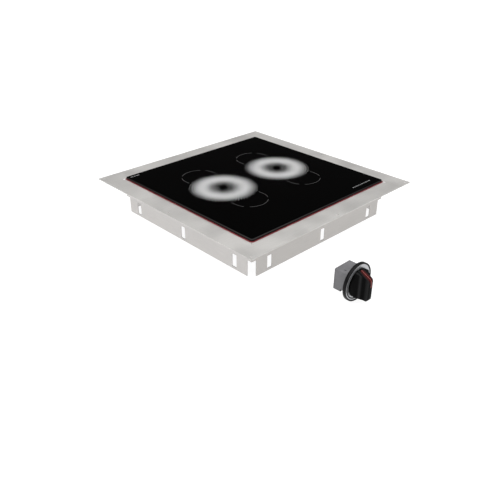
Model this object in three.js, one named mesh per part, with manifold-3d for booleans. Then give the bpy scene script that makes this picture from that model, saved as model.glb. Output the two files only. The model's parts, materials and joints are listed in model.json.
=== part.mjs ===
// A drop-in induction hob with two cooking zones and its separate rotary control.
// Millimetres, +Z up. The origin is the centre of the glass's top face, and the front of the hob is -Y.
import * as THREE from "three";
import { mergeVertices } from "three/addons/utils/BufferGeometryUtils.js";
import Module from "manifold-3d";

const wasm = await Module();
wasm.setup();

// ---------------------------------------------------------------- driving dimensions
const GAP = 0.2; // air left between pieces that touch on the real hob
const FIT = 0.3; // air round a piece that sits in a pocket or turns in a bore

const GLASS = { side: 400, thick: 4, corner: 5 };
const SEAL = { side: 404, width: 11, thick: 0.8, corner: 7 };
const FLANGE = { side: 485, thick: 1.5, opening: 376, corner: 1 };
const FLANGE_TOP = -(GLASS.thick + GAP + SEAL.thick + GAP);
const SCREW_HOLE = { r: 2.6, fromEdge: 8.5 };
const RELIEF_HOLE = { r: 3.2, at: 202.5 };

const SKIRT = { outer: 401.6, sheet: 1.5, depth: 75, cornerGap: 12, band: 39, groove: 0.6 };
const SKIRT_BOTTOM = FLANGE_TOP - SKIRT.depth;
const SLOT = { wide: 12.4, top: FLANGE_TOP - 43, bottom: FLANGE_TOP - 70, spacing: 154 };

const TRAY = { side: 388, sheet: 1, corner: 4, bottom: FLANGE_TOP - 41, rim: 5.2, leadHole: 17 };
const ZONE = { x: 81.5, y: 8.4, r: 71, eye: 22 };
const MICA = { r: 75, thick: 1 };
const COIL_THICK = 5;
const FORMER = { r: 76, thick: 4, rim: 2.4, boss: 18, bore: 6 };
const FERRITE = { long: 44, wide: 12, thick: 5, from: 24, angles: [45, 135, 225, 315] };
const SPRING = { r: 5.4, wire: 1.4, turns: 4, at: 58, angles: [0, 120, 240] };

const PAN = { x: 300, y: 260, sheet: 1, lip: 8, bottom: -75.2, corner: 6, boss: 4 };
const BOARD_THICK = 1.6;
const FAN = { x: -95, y: 70, side: 92, thick: 25, bore: 43, hub: 16 };
const BLADE = { count: 7, tip: 41, chord: 15, thick: 1.8, pitch: 42 };
const GUARD = { rings: [10, 21, 32, 43], wire: 2, bar: 2.4, reach: 44 };
const OUTLET = { count: 6, first: 20, spacing: 15, wide: 9, low: -70, high: -52 };
const PAN_SCREW = { shank: 1.6, head: 3.2, thick: 2 };
const HEATSINK = { x: 45, y: 61, long: 160, wide: 78, base: 5, fin: 2, fins: 11, ledge: 18 };

// The control unit's own frame: its dial faces -Y, and its axis is the local Y axis.
const CONTROL = { x: -117.7, y: -376, z: FLANGE_TOP - 37.6 };
const DIAL = { r: 35.9, lip: 35.1, depth: 6, plate: 34.8, web: 2.2, seat: 4.5, bore: 6 };
const HOUSING = { wide: 42, high: 41, front: 6.3, back: 36, wall: 1.8, cover: 2, step: 15, rise: 5.6 };
const SWITCH = { r: 11.5, front: 9, back: 30, shaft: 3 };
const KNOB = { r: 26.5, nose: -26, back: 0.5, base: 3.4, halfBar: 6.2, round: 3.4, scoop: 20, bore: 15 };
const POINTER = { wide: 4, proud: 0.5, deep: 1.4 };

// ---------------------------------------------------------------- finishes
const finish = (color, roughness, metalness = 0) =>
  new THREE.MeshStandardMaterial({ color, roughness, metalness });
const FINISH = {
  steel: () => finish(0xc4c1bd, 0.38, 1),
  galvanised: () => finish(0x9fa3a6, 0.5, 1),
  glass: () => finish(0x030303, 0.06),
  redRubber: () => finish(0xa81622, 0.55),
  copper: () => finish(0xb5683a, 0.35, 1),
  mica: () => finish(0xb9b0a0, 0.7),
  blackPlastic: () => finish(0x0d0d0d, 0.4),
  greyPlastic: () => finish(0x757478, 0.55),
  whitePlastic: () => finish(0xd8d6cf, 0.5),
  ferrite: () => finish(0x2a2a2c, 0.8),
  spring: () => finish(0xb8babd, 0.3, 1),
  board: () => finish(0x1f5a35, 0.5),
  aluminium: () => finish(0xb9bcc0, 0.4, 1),
  silver: () => finish(0xc9ccd0, 0.3, 0.8),
  capacitor: () => finish(0x3b4a66, 0.5),
  redPlastic: () => finish(0xc4271f, 0.35),
};

// ---------------------------------------------------------------- solids
function solid(geometry) {
  const bare = geometry.index ? geometry.toNonIndexed() : geometry.clone();
  bare.deleteAttribute("normal");
  bare.deleteAttribute("uv");
  const merged = mergeVertices(bare, 1e-4);
  const mesh = { numProp: 3, vertProperties: merged.attributes.position.array };
  mesh.triVerts = new Uint32Array(merged.index.array);
  return new wasm.Manifold(new wasm.Mesh(mesh));
}

function geometryOf(manifold) {
  const { vertProperties, triVerts } = manifold.getMesh();
  const geometry = new THREE.BufferGeometry();
  geometry.setAttribute("position", new THREE.BufferAttribute(new Float32Array(vertProperties), 3));
  geometry.setIndex(new THREE.BufferAttribute(new Uint32Array(triVerts), 1));
  geometry.computeVertexNormals();
  return geometry;
}

const join = (first, ...rest) => rest.reduce((whole, piece) => whole.add(piece), first);
const cut = (first, ...rest) => rest.reduce((whole, piece) => whole.subtract(piece), first);

// A block between two corners.
function block([x0, y0, z0], [x1, y1, z1]) {
  const geometry = new THREE.BoxGeometry(x1 - x0, y1 - y0, z1 - z0);
  return solid(geometry.translate((x0 + x1) / 2, (y0 + y1) / 2, (z0 + z1) / 2));
}

// A rectangle with round corners, centred on the origin.
function roundedShape(x, y, r) {
  const [a, b] = [x / 2, y / 2];
  const shape = new THREE.Shape();
  shape.moveTo(a, -b + r).lineTo(a, b - r).absarc(a - r, b - r, r, 0, Math.PI / 2);
  shape.lineTo(-a + r, b).absarc(-a + r, b - r, r, Math.PI / 2, Math.PI);
  shape.lineTo(-a, -b + r).absarc(-a + r, -b + r, r, Math.PI, 1.5 * Math.PI);
  shape.lineTo(a - r, -b).absarc(a - r, -b + r, r, 1.5 * Math.PI, 2 * Math.PI);
  return shape;
}

// An outline in XY, raised from z0 to z1.
function raise(shape, z0, z1, curveSegments = 4) {
  const depth = z1 - z0;
  return solid(
    new THREE.ExtrudeGeometry(shape, { depth, bevelEnabled: false, curveSegments }).translate(0, 0, z0),
  );
}

const plate = (x, y, r, z0, z1) => raise(roundedShape(x, y, r), z0, z1);

const frame = (outer, inner, r, z0, z1) =>
  cut(plate(outer, outer, r, z0, z1), plate(inner, inner, r, z0 - 1, z1 + 1));

// A closed outline of [radius, height] points turned round the Y axis, with its faces outwards.
function turnedY(points, segments = 32) {
  const outline = points.map(([r, y]) => new THREE.Vector2(r, y));
  const closed = [...outline, outline[0]];
  const turned = THREE.ShapeUtils.area(outline) > 0 ? closed : closed.reverse();
  return solid(new THREE.LatheGeometry(turned, segments));
}

// The same round the Z axis, standing at x, y.
function turnedZ(points, segments = 32, x = 0, y = 0) {
  return turnedY(points, segments).rotate([90, 0, 0]).translate([x, y, 0]);
}

const post = (r, z0, z1, x = 0, y = 0, segments = 16) =>
  turnedZ([[0, z0], [r, z0], [r, z1], [0, z1]], segments, x, y);

const washer = (inner, outer, z0, z1, x = 0, y = 0, segments = 40) =>
  turnedZ([[inner, z0], [outer, z0], [outer, z1], [inner, z1]], segments, x, y);

const degrees = (angle) => (angle * Math.PI) / 180;
const SIDES = { left: -1, right: 1 };

// ---------------------------------------------------------------- the assembly
const hob = new THREE.Group();
const control = new THREE.Group();
control.position.set(CONTROL.x, CONTROL.y, CONTROL.z);

function add(name, manifold, material, group = hob) {
  const mesh = new THREE.Mesh(geometryOf(manifold), material);
  mesh.name = name;
  group.add(mesh);
}

// ---------------------------------------------------------------- frame and glass
const flangeUnderside = FLANGE_TOP - FLANGE.thick;

// The front skirt's two stretches along X. Just under the flange a band runs into the corner; below it, the
// sheet stops short of both corners.
const SKIRT_BAND = [-SKIRT.outer / 2, SKIRT.outer / 2 - SKIRT.sheet - GAP];
const SKIRT_LEG = [SKIRT.cornerGap - SKIRT.outer / 2, SKIRT.outer / 2 - SKIRT.cornerGap];

// A stretch of the front skirt's sheet, grown by `room` on every side.
function skirtStretch([x0, x1], room, z0, z1) {
  const face = -SKIRT.outer / 2;
  return block([x0 - room, face - room, z0], [x1 + room, face + SKIRT.sheet + room, z1]);
}

// The ring is grooved underneath, where the skirts are welded in.
function flangePlate() {
  const holes = [];
  const edge = FLANGE.side / 2 - SCREW_HOLE.fromEdge;
  for (const i of [-1, 0, 1])
    for (const j of [-1, 0, 1])
      if (i || j) holes.push(post(SCREW_HOLE.r, FLANGE_TOP - 9, FLANGE_TOP + 9, i * edge, j * edge, 10));
  for (const i of [-1, 1])
    for (const j of [-1, 1])
      holes.push(
        post(RELIEF_HOLE.r, FLANGE_TOP - 9, FLANGE_TOP + 9, i * RELIEF_HOLE.at, j * RELIEF_HOLE.at, 12),
      );
  const ring = cut(
    plate(FLANGE.side, FLANGE.side, FLANGE.corner, flangeUnderside, FLANGE_TOP),
    plate(FLANGE.opening, FLANGE.opening, GLASS.corner, FLANGE_TOP - 9, FLANGE_TOP + 9),
  );
  const grooves = [0, 90, 180, 270].map((angle) =>
    skirtStretch(SKIRT_BAND, FIT, flangeUnderside - 1, flangeUnderside + SKIRT.groove).rotate([0, 0, angle]),
  );
  return cut(ring, ...holes, ...grooves);
}

// The front skirt. The other three are the same sheet turned round the hob.
function skirt() {
  const face = -SKIRT.outer / 2;
  const top = flangeUnderside + SKIRT.groove - FIT;
  const band = skirtStretch(SKIRT_BAND, 0, flangeUnderside - SKIRT.band, top);
  const sheet = join(skirtStretch(SKIRT_LEG, 0, SKIRT_BOTTOM, top), band);
  const slots = [-1, 0, 1].map((i) =>
    block(
      [i * SLOT.spacing - SLOT.wide / 2, face - 5, SLOT.bottom],
      [i * SLOT.spacing + SLOT.wide / 2, face + 5, SLOT.top],
    ),
  );
  return cut(sheet, ...slots);
}

add("flange_plate", flangePlate(), FINISH.steel());
["front", "right", "back", "left"].forEach((name, i) =>
  add("skirt_" + name, skirt().rotate([0, 0, 90 * i]), FINISH.steel()),
);
add("glass_plate", plate(GLASS.side, GLASS.side, GLASS.corner, -GLASS.thick, 0), FINISH.glass());
add(
  "glass_seal",
  frame(SEAL.side, SEAL.side - 2 * SEAL.width, SEAL.corner, FLANGE_TOP + GAP, -GLASS.thick - GAP),
  FINISH.redRubber(),
);

// ---------------------------------------------------------------- coil compartment
// A tray whose walls run on below its floor as a stiffening rim.
function coilTray() {
  const top = flangeUnderside - GAP;
  const inside = TRAY.side - 2 * TRAY.sheet;
  const shell = cut(
    plate(TRAY.side, TRAY.side, TRAY.corner, TRAY.bottom - TRAY.rim, top),
    plate(inside, inside, TRAY.corner - TRAY.sheet, TRAY.bottom + TRAY.sheet, top + 1),
    plate(inside, inside, TRAY.corner - TRAY.sheet, TRAY.bottom - TRAY.rim - 1, TRAY.bottom),
  );
  const leads = Object.values(SIDES).map((side) =>
    post(TRAY.leadHole, TRAY.bottom - 5, TRAY.bottom + 5, side * ZONE.x, ZONE.y, 20),
  );
  return cut(shell, ...leads);
}

const micaTop = -GLASS.thick - FIT;
const coilTop = micaTop - MICA.thick - FIT;
const formerTop = coilTop - COIL_THICK - FIT;
const formerBottom = formerTop - FORMER.thick;
const trayFloor = TRAY.bottom + TRAY.sheet;

// A round carrier with a low rim round the winding and a hollow boss in its eye.
function coilFormer(x, y) {
  const { r, rim, boss, bore } = FORMER;
  const outline = [
    [bore, formerBottom],
    [r, formerBottom],
    [r, formerTop + rim],
    [r - 2, formerTop + rim],
    [r - 2, formerTop],
    [boss, formerTop],
    [boss, formerTop + rim],
    [bore, formerTop + rim],
  ];
  return turnedZ(outline, 32, x, y);
}

// A coil spring standing on the tray, as one round wire swept along a helix.
function coilSpring(x, y) {
  const top = formerBottom - GAP - SPRING.wire / 2;
  const bottom = trayFloor + GAP + SPRING.wire / 2;
  const points = [];
  const steps = SPRING.turns * 9;
  for (let i = 0; i <= steps; i += 1) {
    const angle = (i / 9) * 2 * Math.PI;
    const z = bottom + ((top - bottom) * i) / steps;
    points.push(new THREE.Vector3(SPRING.r * Math.cos(angle), SPRING.r * Math.sin(angle), z));
  }
  const wire = new THREE.Shape();
  for (let i = 0; i < 5; i += 1) {
    const angle = degrees(72 * i);
    const [a, b] = [Math.cos(angle) * (SPRING.wire / 2), Math.sin(angle) * (SPRING.wire / 2)];
    if (i) wire.lineTo(a, b);
    else wire.moveTo(a, b);
  }
  const extrudePath = new THREE.CatmullRomCurve3(points);
  const geometry = new THREE.ExtrudeGeometry(wire, { steps, bevelEnabled: false, extrudePath });
  return solid(geometry.translate(x, y, 0));
}

function ferriteBar(x, y, angle) {
  const top = formerBottom - GAP;
  const bar = block(
    [FERRITE.from, -FERRITE.wide / 2, top - FERRITE.thick],
    [FERRITE.from + FERRITE.long, FERRITE.wide / 2, top],
  );
  return bar.rotate([0, 0, angle]).translate([x, y, 0]);
}

function temperatureSensor(x, y) {
  const top = coilTop + FIT / 2;
  const cap = FORMER.bore - FIT;
  const outline = [[0, formerBottom - 4], [cap, formerBottom - 4], [cap, top - 1], [cap - 1, top], [0, top]];
  return turnedZ(outline, 16, x, y);
}

add("coil_tray", coilTray(), FINISH.galvanised());
for (const [name, side] of Object.entries(SIDES)) {
  const [x, y] = [side * ZONE.x, ZONE.y];
  add("mica_disc_" + name, post(MICA.r, micaTop - MICA.thick, micaTop, x, y, 40), FINISH.mica());
  add("litz_coil_" + name, washer(ZONE.eye, ZONE.r, coilTop - COIL_THICK, coilTop, x, y), FINISH.copper());
  add("coil_former_" + name, coilFormer(x, y), FINISH.whitePlastic());
  add("temperature_sensor_" + name, temperatureSensor(x, y), FINISH.whitePlastic());
  FERRITE.angles.forEach((angle, i) =>
    add("ferrite_bar_" + name + "_" + (i + 1), ferriteBar(x, y, angle), FINISH.ferrite()),
  );
  SPRING.angles.forEach((angle, i) => {
    const [dx, dy] = [Math.cos(degrees(angle)) * SPRING.at, Math.sin(degrees(angle)) * SPRING.at];
    add("coil_spring_" + name + "_" + (i + 1), coilSpring(x + dx, y + dy), FINISH.spring());
  });
}

// ---------------------------------------------------------------- electronics pan
const panTop = TRAY.bottom - GAP;
const panFloor = PAN.bottom + PAN.sheet;
const boardBottom = panFloor + PAN.boss + GAP;
const boardTop = boardBottom + BOARD_THICK;
const BOARDS = {
  power_board: { x: 50, y: -55, wide: 170, deep: 120 },
  control_board: { x: -92, y: -60, wide: 96, deep: 90 },
};
const GLAND = { y: -95, z: -60, r: 8, bore: 4, out: 20 };
const CONTROL_SOCKET = { x: -100, z: -62, wide: 18, high: 10 };

function boardCorners({ x, y, wide, deep }) {
  const [dx, dy] = [wide / 2 - 6, deep / 2 - 6];
  return [-1, 1].flatMap((i) => [-1, 1].map((j) => [x + i * dx, y + j * dy]));
}

// A shallow folded pan with outward lips, pressed bosses under the boards, an inlet and outlet slots.
function electronicsPan() {
  const inside = [PAN.x - 2 * PAN.sheet, PAN.y - 2 * PAN.sheet];
  const shell = cut(
    join(
      plate(PAN.x, PAN.y, PAN.corner, PAN.bottom, panTop),
      plate(PAN.x + 2 * PAN.lip, PAN.y + 2 * PAN.lip, PAN.corner, panTop - PAN.sheet, panTop),
    ),
    plate(inside[0], inside[1], PAN.corner - PAN.sheet, panFloor, panTop + 1),
  );
  const bosses = Object.values(BOARDS)
    .flatMap(boardCorners)
    .map(([x, y]) => post(3.5, panFloor - 0.5, panFloor + PAN.boss, x, y, 10));
  const inlet = post(FAN.bore - 2, PAN.bottom - 3, panFloor + 3, FAN.x, FAN.y, 32);
  const outlets = Array.from({ length: OUTLET.count }, (_, i) => {
    const y = OUTLET.first + OUTLET.spacing * i;
    return block([PAN.x / 2 - 6, y, OUTLET.low], [PAN.x / 2 + 6, y + OUTLET.wide, OUTLET.high]);
  });
  const glandHole = turnedY([[0, -6], [GLAND.bore + 2, -6], [GLAND.bore + 2, 6], [0, 6]], 12)
    .rotate([0, 0, 90])
    .translate([PAN.x / 2, GLAND.y, GLAND.z]);
  const { x, z, wide, high } = CONTROL_SOCKET;
  const socketHole = block(
    [x - wide / 2 - FIT, -PAN.y / 2 - 5, z - high / 2 - FIT],
    [x + wide / 2 + FIT, -PAN.y / 2 + 5, z + high / 2 + FIT],
  );
  const screwHoles = panScrewPlaces().map(([sx, sy]) => post(2, panTop - 9, panTop + 9, sx, sy, 8));
  return cut(join(shell, ...bosses), inlet, glandHole, socketHole, ...outlets, ...screwHoles);
}

function panScrewPlaces() {
  const [dx, dy] = [PAN.x / 2 - 20, PAN.y / 2 + PAN.lip / 2 + 0.5];
  return [-1, 1].flatMap((i) => [-1, 1].map((j) => [i * dx, j * dy]));
}

// A pan-head screw seen from below: a low domed head and a short shank up into the lip.
function panScrew([x, y]) {
  const seat = panTop - PAN.sheet - GAP;
  const { shank, head, thick } = PAN_SCREW;
  const outline = [
    [0, panTop - 0.1],
    [shank, panTop - 0.1],
    [shank, seat],
    [head, seat],
    [head, seat - thick / 2],
    [head - 1.2, seat - thick],
    [0, seat - thick],
  ];
  return turnedZ(outline, 10, x, y);
}

function heatsink() {
  const { x, y, long, wide, base, fin, fins, ledge } = HEATSINK;
  const [x0, y0] = [x - long / 2, y - wide / 2];
  const bottom = panFloor + FIT;
  const finned = wide - ledge;
  const pitch = (finned - fin) / (fins - 1);
  const ribs = Array.from({ length: fins }, (_, i) => {
    const at = y0 + ledge + i * pitch;
    return block([x0, at, bottom + base - 0.5], [x0 + long, at + fin, panTop - 3]);
  });
  return join(block([x0, y0, bottom], [x0 + long, y0 + wide, bottom + base]), ...ribs);
}

// A square axial fan: its frame carries the motor plate on three struts.
const fanBottom = panFloor + FIT;
const fanTop = fanBottom + FAN.thick;

function fanFrame() {
  const half = FAN.side / 2;
  const housing = cut(
    plate(FAN.side, FAN.side, 5, fanBottom, fanTop),
    post(FAN.bore, fanBottom - 1, fanTop + 1, 0, 0, 32),
  );
  const struts = [90, 210, 330].map((angle) =>
    block([0, -2, fanTop - 3], [FAN.bore + 2, 2, fanTop]).rotate([0, 0, angle]),
  );
  const motor = post(FAN.hub, fanTop - 3, fanTop, 0, 0, 20);
  const corners = [-1, 1].flatMap((i) =>
    [-1, 1].map((j) => post(2.1, fanBottom - 1, fanTop + 1, i * (half - 6), j * (half - 6), 8)),
  );
  return cut(join(housing, motor, ...struts), ...corners).translate([FAN.x, FAN.y, 0]);
}

function fanRotor() {
  const [low, high] = [fanBottom + 2, fanTop - 3.5];
  const hub = post(FAN.hub, low, high, 0, 0, 20);
  const root = FAN.hub - 2;
  const [halfThick, halfChord] = [BLADE.thick / 2, BLADE.chord / 2];
  const blade = block([-halfThick, 0, -halfChord], [halfThick, BLADE.tip - root, halfChord])
    .rotate([0, BLADE.pitch, 0])
    .translate([0, root, (low + high) / 2]);
  const blades = Array.from({ length: BLADE.count }, (_, i) => blade.rotate([0, 0, (360 / BLADE.count) * i]));
  return join(hub, ...blades).translate([FAN.x, FAN.y, 0]);
}

// Four rings on a cross, fixed below the pan's inlet.
function fanGuard() {
  const { wire, bar, reach } = GUARD;
  const top = PAN.bottom - GAP;
  const rings = GUARD.rings.map((r) => washer(r - wire / 2, r + wire / 2, top - wire, top, 0, 0, 20));
  const spoke = cut(
    block([-reach, -bar / 2, top - wire], [reach, bar / 2, top]),
    post(GUARD.rings[0], top - 5, top + 5, 0, 0, 20),
  );
  const bars = [45, 135].map((angle) => spoke.rotate([0, 0, angle]));
  return join(...rings, ...bars).translate([FAN.x, FAN.y, 0]);
}

function cableGland() {
  const outline = [
    [GLAND.bore, -4],
    [GLAND.bore + 1.7, -4],
    [GLAND.bore + 1.7, GAP],
    [GLAND.r, GAP],
    [GLAND.r, 7],
    [GLAND.r - 2, 8],
    [GLAND.r - 2, GLAND.out - 6],
    [GLAND.bore + 1, GLAND.out],
    [GLAND.bore, GLAND.out],
  ];
  return turnedY(outline, 16)
    .rotate([0, 0, -90])
    .translate([PAN.x / 2, GLAND.y, GLAND.z]);
}

function controlSocket() {
  const { x, z, wide, high } = CONTROL_SOCKET;
  const wallFace = -PAN.y / 2;
  const body = block([x - wide / 2, wallFace - 3, z - high / 2], [x + wide / 2, wallFace + 12, z + high / 2]);
  return cut(body, block([x - wide / 2 + 2, wallFace - 4, z - 3], [x + wide / 2 - 2, wallFace + 6, z + 3]));
}

const standing = (x, y, z, wide, deep, high) =>
  block([x - wide / 2, y - deep / 2, z + GAP], [x + wide / 2, y + deep / 2, z + GAP + high]);
const ledgeTop = panFloor + FIT + HEATSINK.base;
const ledgeY = HEATSINK.y - HEATSINK.wide / 2 + 9;
const COMPONENTS = {
  igbt_1: [standing(10, ledgeY, ledgeTop, 16, 14, 5), "blackPlastic"],
  igbt_2: [standing(50, ledgeY, ledgeTop, 16, 14, 5), "blackPlastic"],
  bridge_rectifier: [standing(90, ledgeY, ledgeTop, 28, 14, 5), "blackPlastic"],
  filter_capacitor: [standing(60, -95, boardTop, 42, 20, 17), "capacitor"],
  resonant_capacitor: [standing(0, -95, boardTop, 42, 20, 17), "capacitor"],
  filter_choke: [washer(8, 18, boardTop + GAP, boardTop + 14, 10, -45, 24), "copper"],
  mains_terminal_block: [standing(118, -95, boardTop, 16, 40, 15), "whitePlastic"],
};

add("electronics_pan", electronicsPan(), FINISH.galvanised());
for (const [name, { x, y, wide, deep }] of Object.entries(BOARDS))
  add(name, plate(wide, deep, 2, boardBottom, boardTop).translate([x, y, 0]), FINISH.board());
add("heatsink", heatsink(), FINISH.aluminium());
for (const [name, [piece, look]] of Object.entries(COMPONENTS)) add(name, piece, FINISH[look]());
add("fan_frame", fanFrame(), FINISH.blackPlastic());
add("fan_rotor", fanRotor(), FINISH.blackPlastic());
add("fan_guard", fanGuard(), FINISH.spring());
add("cable_gland", cableGland(), FINISH.blackPlastic());
add("control_socket", controlSocket(), FINISH.whitePlastic());
panScrewPlaces().forEach((place, i) => add("pan_screw_" + (i + 1), panScrew(place), FINISH.spring()));

// ---------------------------------------------------------------- control unit
// A cup that holds the scale plate in front, with a raised sealing rim behind.
function dialBezel() {
  const { r, lip, depth, web, seat, bore } = DIAL;
  const outline = [
    [bore, web],
    [lip, web],
    [lip, 0],
    [r - 0.3, 0],
    [r, 0.4],
    [r, depth],
    [r - seat, depth],
    [r - seat, depth - 0.8],
    [bore, depth - 0.8],
  ];
  return turnedY(outline, 40);
}

// A standing outline in XZ, from y0 to y1.
const upright = (shape, y0, y1) => raise(shape, 0, y1 - y0).rotate([90, 0, 0]).translate([0, y1, 0]);

// An open-backed box, lower at the back than under the dial.
function controlHousing() {
  const { wide, high, front, back, wall, cover, step, rise } = HOUSING;
  const rear = back - cover - GAP;
  const under = (thick) =>
    block([-wide, front - 1, -high], [wide, front + step + thick, rise + thick - high / 2]);
  const shell = cut(upright(roundedShape(wide, high, 2), front, rear), under(0));
  const hollow = cut(
    upright(roundedShape(wide - 2 * wall, high - 2 * wall, 1), front + wall, rear + 1),
    under(wall),
  );
  const shaftHole = turnedY([[0, 0], [DIAL.bore, 0], [DIAL.bore, 12], [0, 12]], 20);
  const vent = block([-14, 17, high / 2 - 5], [-12.2, 22, high / 2 + 5]);
  return cut(shell, hollow, shaftHole, vent);
}

// The lead's socket sits in a window in the cover.
const SOCKET = { wide: 18, low: -14, high: -6, deep: 5 };

function housingCover() {
  const { wide, high, back, cover } = HOUSING;
  const window = block(
    [-SOCKET.wide / 2 - FIT, back - 9, SOCKET.low - FIT],
    [SOCKET.wide / 2 + FIT, back + 9, SOCKET.high + FIT],
  );
  return cut(upright(roundedShape(wide, high, 2), back - cover, back), window);
}

function leadSocket() {
  const back = HOUSING.back - GAP;
  const { wide, low, high, deep } = SOCKET;
  const body = block([-wide / 2, back - deep, low], [wide / 2, back, high]);
  return cut(body, block([2 - wide / 2, back - deep + 1, low + 2], [wide / 2 - 2, back + 1, high - 2]));
}

function rotarySwitch() {
  const bore = SWITCH.shaft + FIT;
  const { r, front, back } = SWITCH;
  const neck = { r: 5, from: DIAL.web + GAP };
  const outline = [
    [0, back],
    [r, back],
    [r, front],
    [neck.r, front],
    [neck.r, neck.from],
    [bore, neck.from],
    [bore, back - 4],
    [0, back - 4],
  ];
  return turnedY(outline, 24);
}

// The line of the pointer, as [y, z]: down the sloping ridge, over the nose and to the centre of the face.
const RIDGE = [[-0.1, 27], [-23.6, 15.4], [-25.3, 13.2], [KNOB.nose, 9.6], [KNOB.nose, 0.6]];

// An outline in YZ, given as [y, z] points, with a thickness along X.
function sideOutline(points, thick) {
  const shape = new THREE.Shape(points.map(([y, z]) => new THREE.Vector2(y, z)));
  return raise(shape, -thick / 2, thick / 2).rotate([90, 0, 90]);
}

// A strip along the ridge, from `proud` outside it to `deep` inside it, longer by `extra` at both ends.
function ridgeStrip(proud, deep, wide, extra) {
  const line = RIDGE.map(([y, z]) => new THREE.Vector2(y, z));
  const last = line.length - 1;
  line[0].addScaledVector(line[0].clone().sub(line[1]).normalize(), extra);
  line[last].y -= extra;
  const normals = line.map((_, i) => {
    const along = line[Math.min(i + 1, last)].clone().sub(line[Math.max(i - 1, 0)]);
    return new THREE.Vector2(along.y, -along.x).normalize();
  });
  const offset = (distance) => line.map((p, i) => p.clone().addScaledVector(normals[i], distance));
  const outline = [...offset(-proud), ...offset(deep).reverse()];
  return sideOutline(outline.map((p) => [p.x, p.y]), wide);
}

// A round base with a grip bar across it: the bar's flanks are hollowed, and its top end slopes.
function knobBody() {
  const { r, nose, back, base, halfBar, round, scoop } = KNOB;
  const disc = [[0, back], [r - 0.6, back], [r, back - 0.6], [r, 0.8 - base], [r - 0.8, -base], [0, -base]];
  const plan = new THREE.Shape();
  const centre = { x: halfBar + scoop, y: nose + 2 };
  const skirtEnd = centre.y + scoop;
  plan.moveTo(-centre.x, back).lineTo(-centre.x, skirtEnd);
  plan.absarc(-centre.x, centre.y, scoop, degrees(90), degrees(4), true);
  plan.absarc(round - halfBar, nose + round, round, degrees(180), degrees(270), false);
  plan.absarc(halfBar - round, nose + round, round, degrees(270), degrees(360), false);
  plan.absarc(centre.x, centre.y, scoop, degrees(176), degrees(90), true);
  plan.lineTo(centre.x, back);
  const side = [...RIDGE.slice(0, -1), [nose, -20], [nose + 1.6, -25], [nose + 5, -r], [back, -r]];
  const blank = turnedY([[0, back], [r, back], [r, nose], [0, nose]], 40);
  const bar = raise(plan, -40, 40, 6).intersect(blank).intersect(sideOutline(side, 80));
  const bore = turnedY(
    [[0, 2], [SWITCH.shaft + FIT, 2], [SWITCH.shaft + FIT, -KNOB.bore], [0, -KNOB.bore]],
    14,
  );
  const groove = ridgeStrip(3, POINTER.deep + FIT, POINTER.wide + 2 * FIT, FIT);
  return cut(join(turnedY(disc, 40), bar), bore, groove);
}

const shaft = turnedY(
  [
    [0, FIT - KNOB.bore],
    [SWITCH.shaft, FIT - KNOB.bore],
    [SWITCH.shaft, SWITCH.back - 5],
    [0, SWITCH.back - 5],
  ],
  14,
);
const scalePlate = turnedY([[DIAL.bore, 0.8], [DIAL.plate, 0.8], [DIAL.plate, 2], [DIAL.bore, 2]], 40);

add("dial_bezel", dialBezel(), FINISH.blackPlastic(), control);
add("scale_plate", scalePlate, FINISH.silver(), control);
add("control_housing", controlHousing(), FINISH.greyPlastic(), control);
add("housing_cover", housingCover(), FINISH.greyPlastic(), control);
add("rotary_switch", rotarySwitch(), FINISH.whitePlastic(), control);
add("lead_socket", leadSocket(), FINISH.whitePlastic(), control);
add("switch_shaft", shaft, FINISH.aluminium(), control);
add("knob", knobBody(), FINISH.blackPlastic(), control);
add("pointer_insert", ridgeStrip(POINTER.proud, POINTER.deep, POINTER.wide, 0), FINISH.redPlastic(), control);

hob.add(control);
export default hob;
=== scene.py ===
import json
import math

import bmesh
import bpy
import numpy as np
from mathutils import Euler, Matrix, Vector


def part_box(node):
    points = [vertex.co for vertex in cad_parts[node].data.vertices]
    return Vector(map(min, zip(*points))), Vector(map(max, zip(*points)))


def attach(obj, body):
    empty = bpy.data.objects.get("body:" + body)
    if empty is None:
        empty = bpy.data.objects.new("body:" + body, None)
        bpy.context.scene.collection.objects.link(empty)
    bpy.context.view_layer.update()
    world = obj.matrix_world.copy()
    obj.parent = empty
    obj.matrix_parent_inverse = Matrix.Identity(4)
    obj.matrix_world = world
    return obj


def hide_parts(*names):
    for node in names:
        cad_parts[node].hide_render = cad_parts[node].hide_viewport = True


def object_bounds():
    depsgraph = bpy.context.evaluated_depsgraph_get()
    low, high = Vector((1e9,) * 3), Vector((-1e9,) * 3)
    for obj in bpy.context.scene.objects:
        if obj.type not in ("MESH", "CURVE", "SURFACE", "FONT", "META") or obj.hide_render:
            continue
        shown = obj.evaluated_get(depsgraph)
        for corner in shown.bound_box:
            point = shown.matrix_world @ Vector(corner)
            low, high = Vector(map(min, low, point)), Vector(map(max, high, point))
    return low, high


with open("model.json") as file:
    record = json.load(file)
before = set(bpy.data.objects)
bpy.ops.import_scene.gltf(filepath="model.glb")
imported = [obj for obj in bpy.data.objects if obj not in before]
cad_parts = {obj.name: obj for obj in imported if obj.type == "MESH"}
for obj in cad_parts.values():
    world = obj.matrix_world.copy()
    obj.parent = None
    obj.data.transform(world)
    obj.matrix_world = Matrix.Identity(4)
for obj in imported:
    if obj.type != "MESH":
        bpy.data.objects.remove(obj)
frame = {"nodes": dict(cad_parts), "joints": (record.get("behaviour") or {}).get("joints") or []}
CAD_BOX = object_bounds()
MM = 0.001

# ---------------------------------------------------------------- camera
CAMERA_AT = (-0.8255, -0.8408, 0.4912)
CAMERA_AZIMUTH, CAMERA_ELEVATION, CAMERA_ROLL = 44.106, 29.727, 0.270
CAMERA_LENS, CAMERA_SENSOR = 41.53, 36.0
CAMERA_CLIP = 0.05, 60


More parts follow.
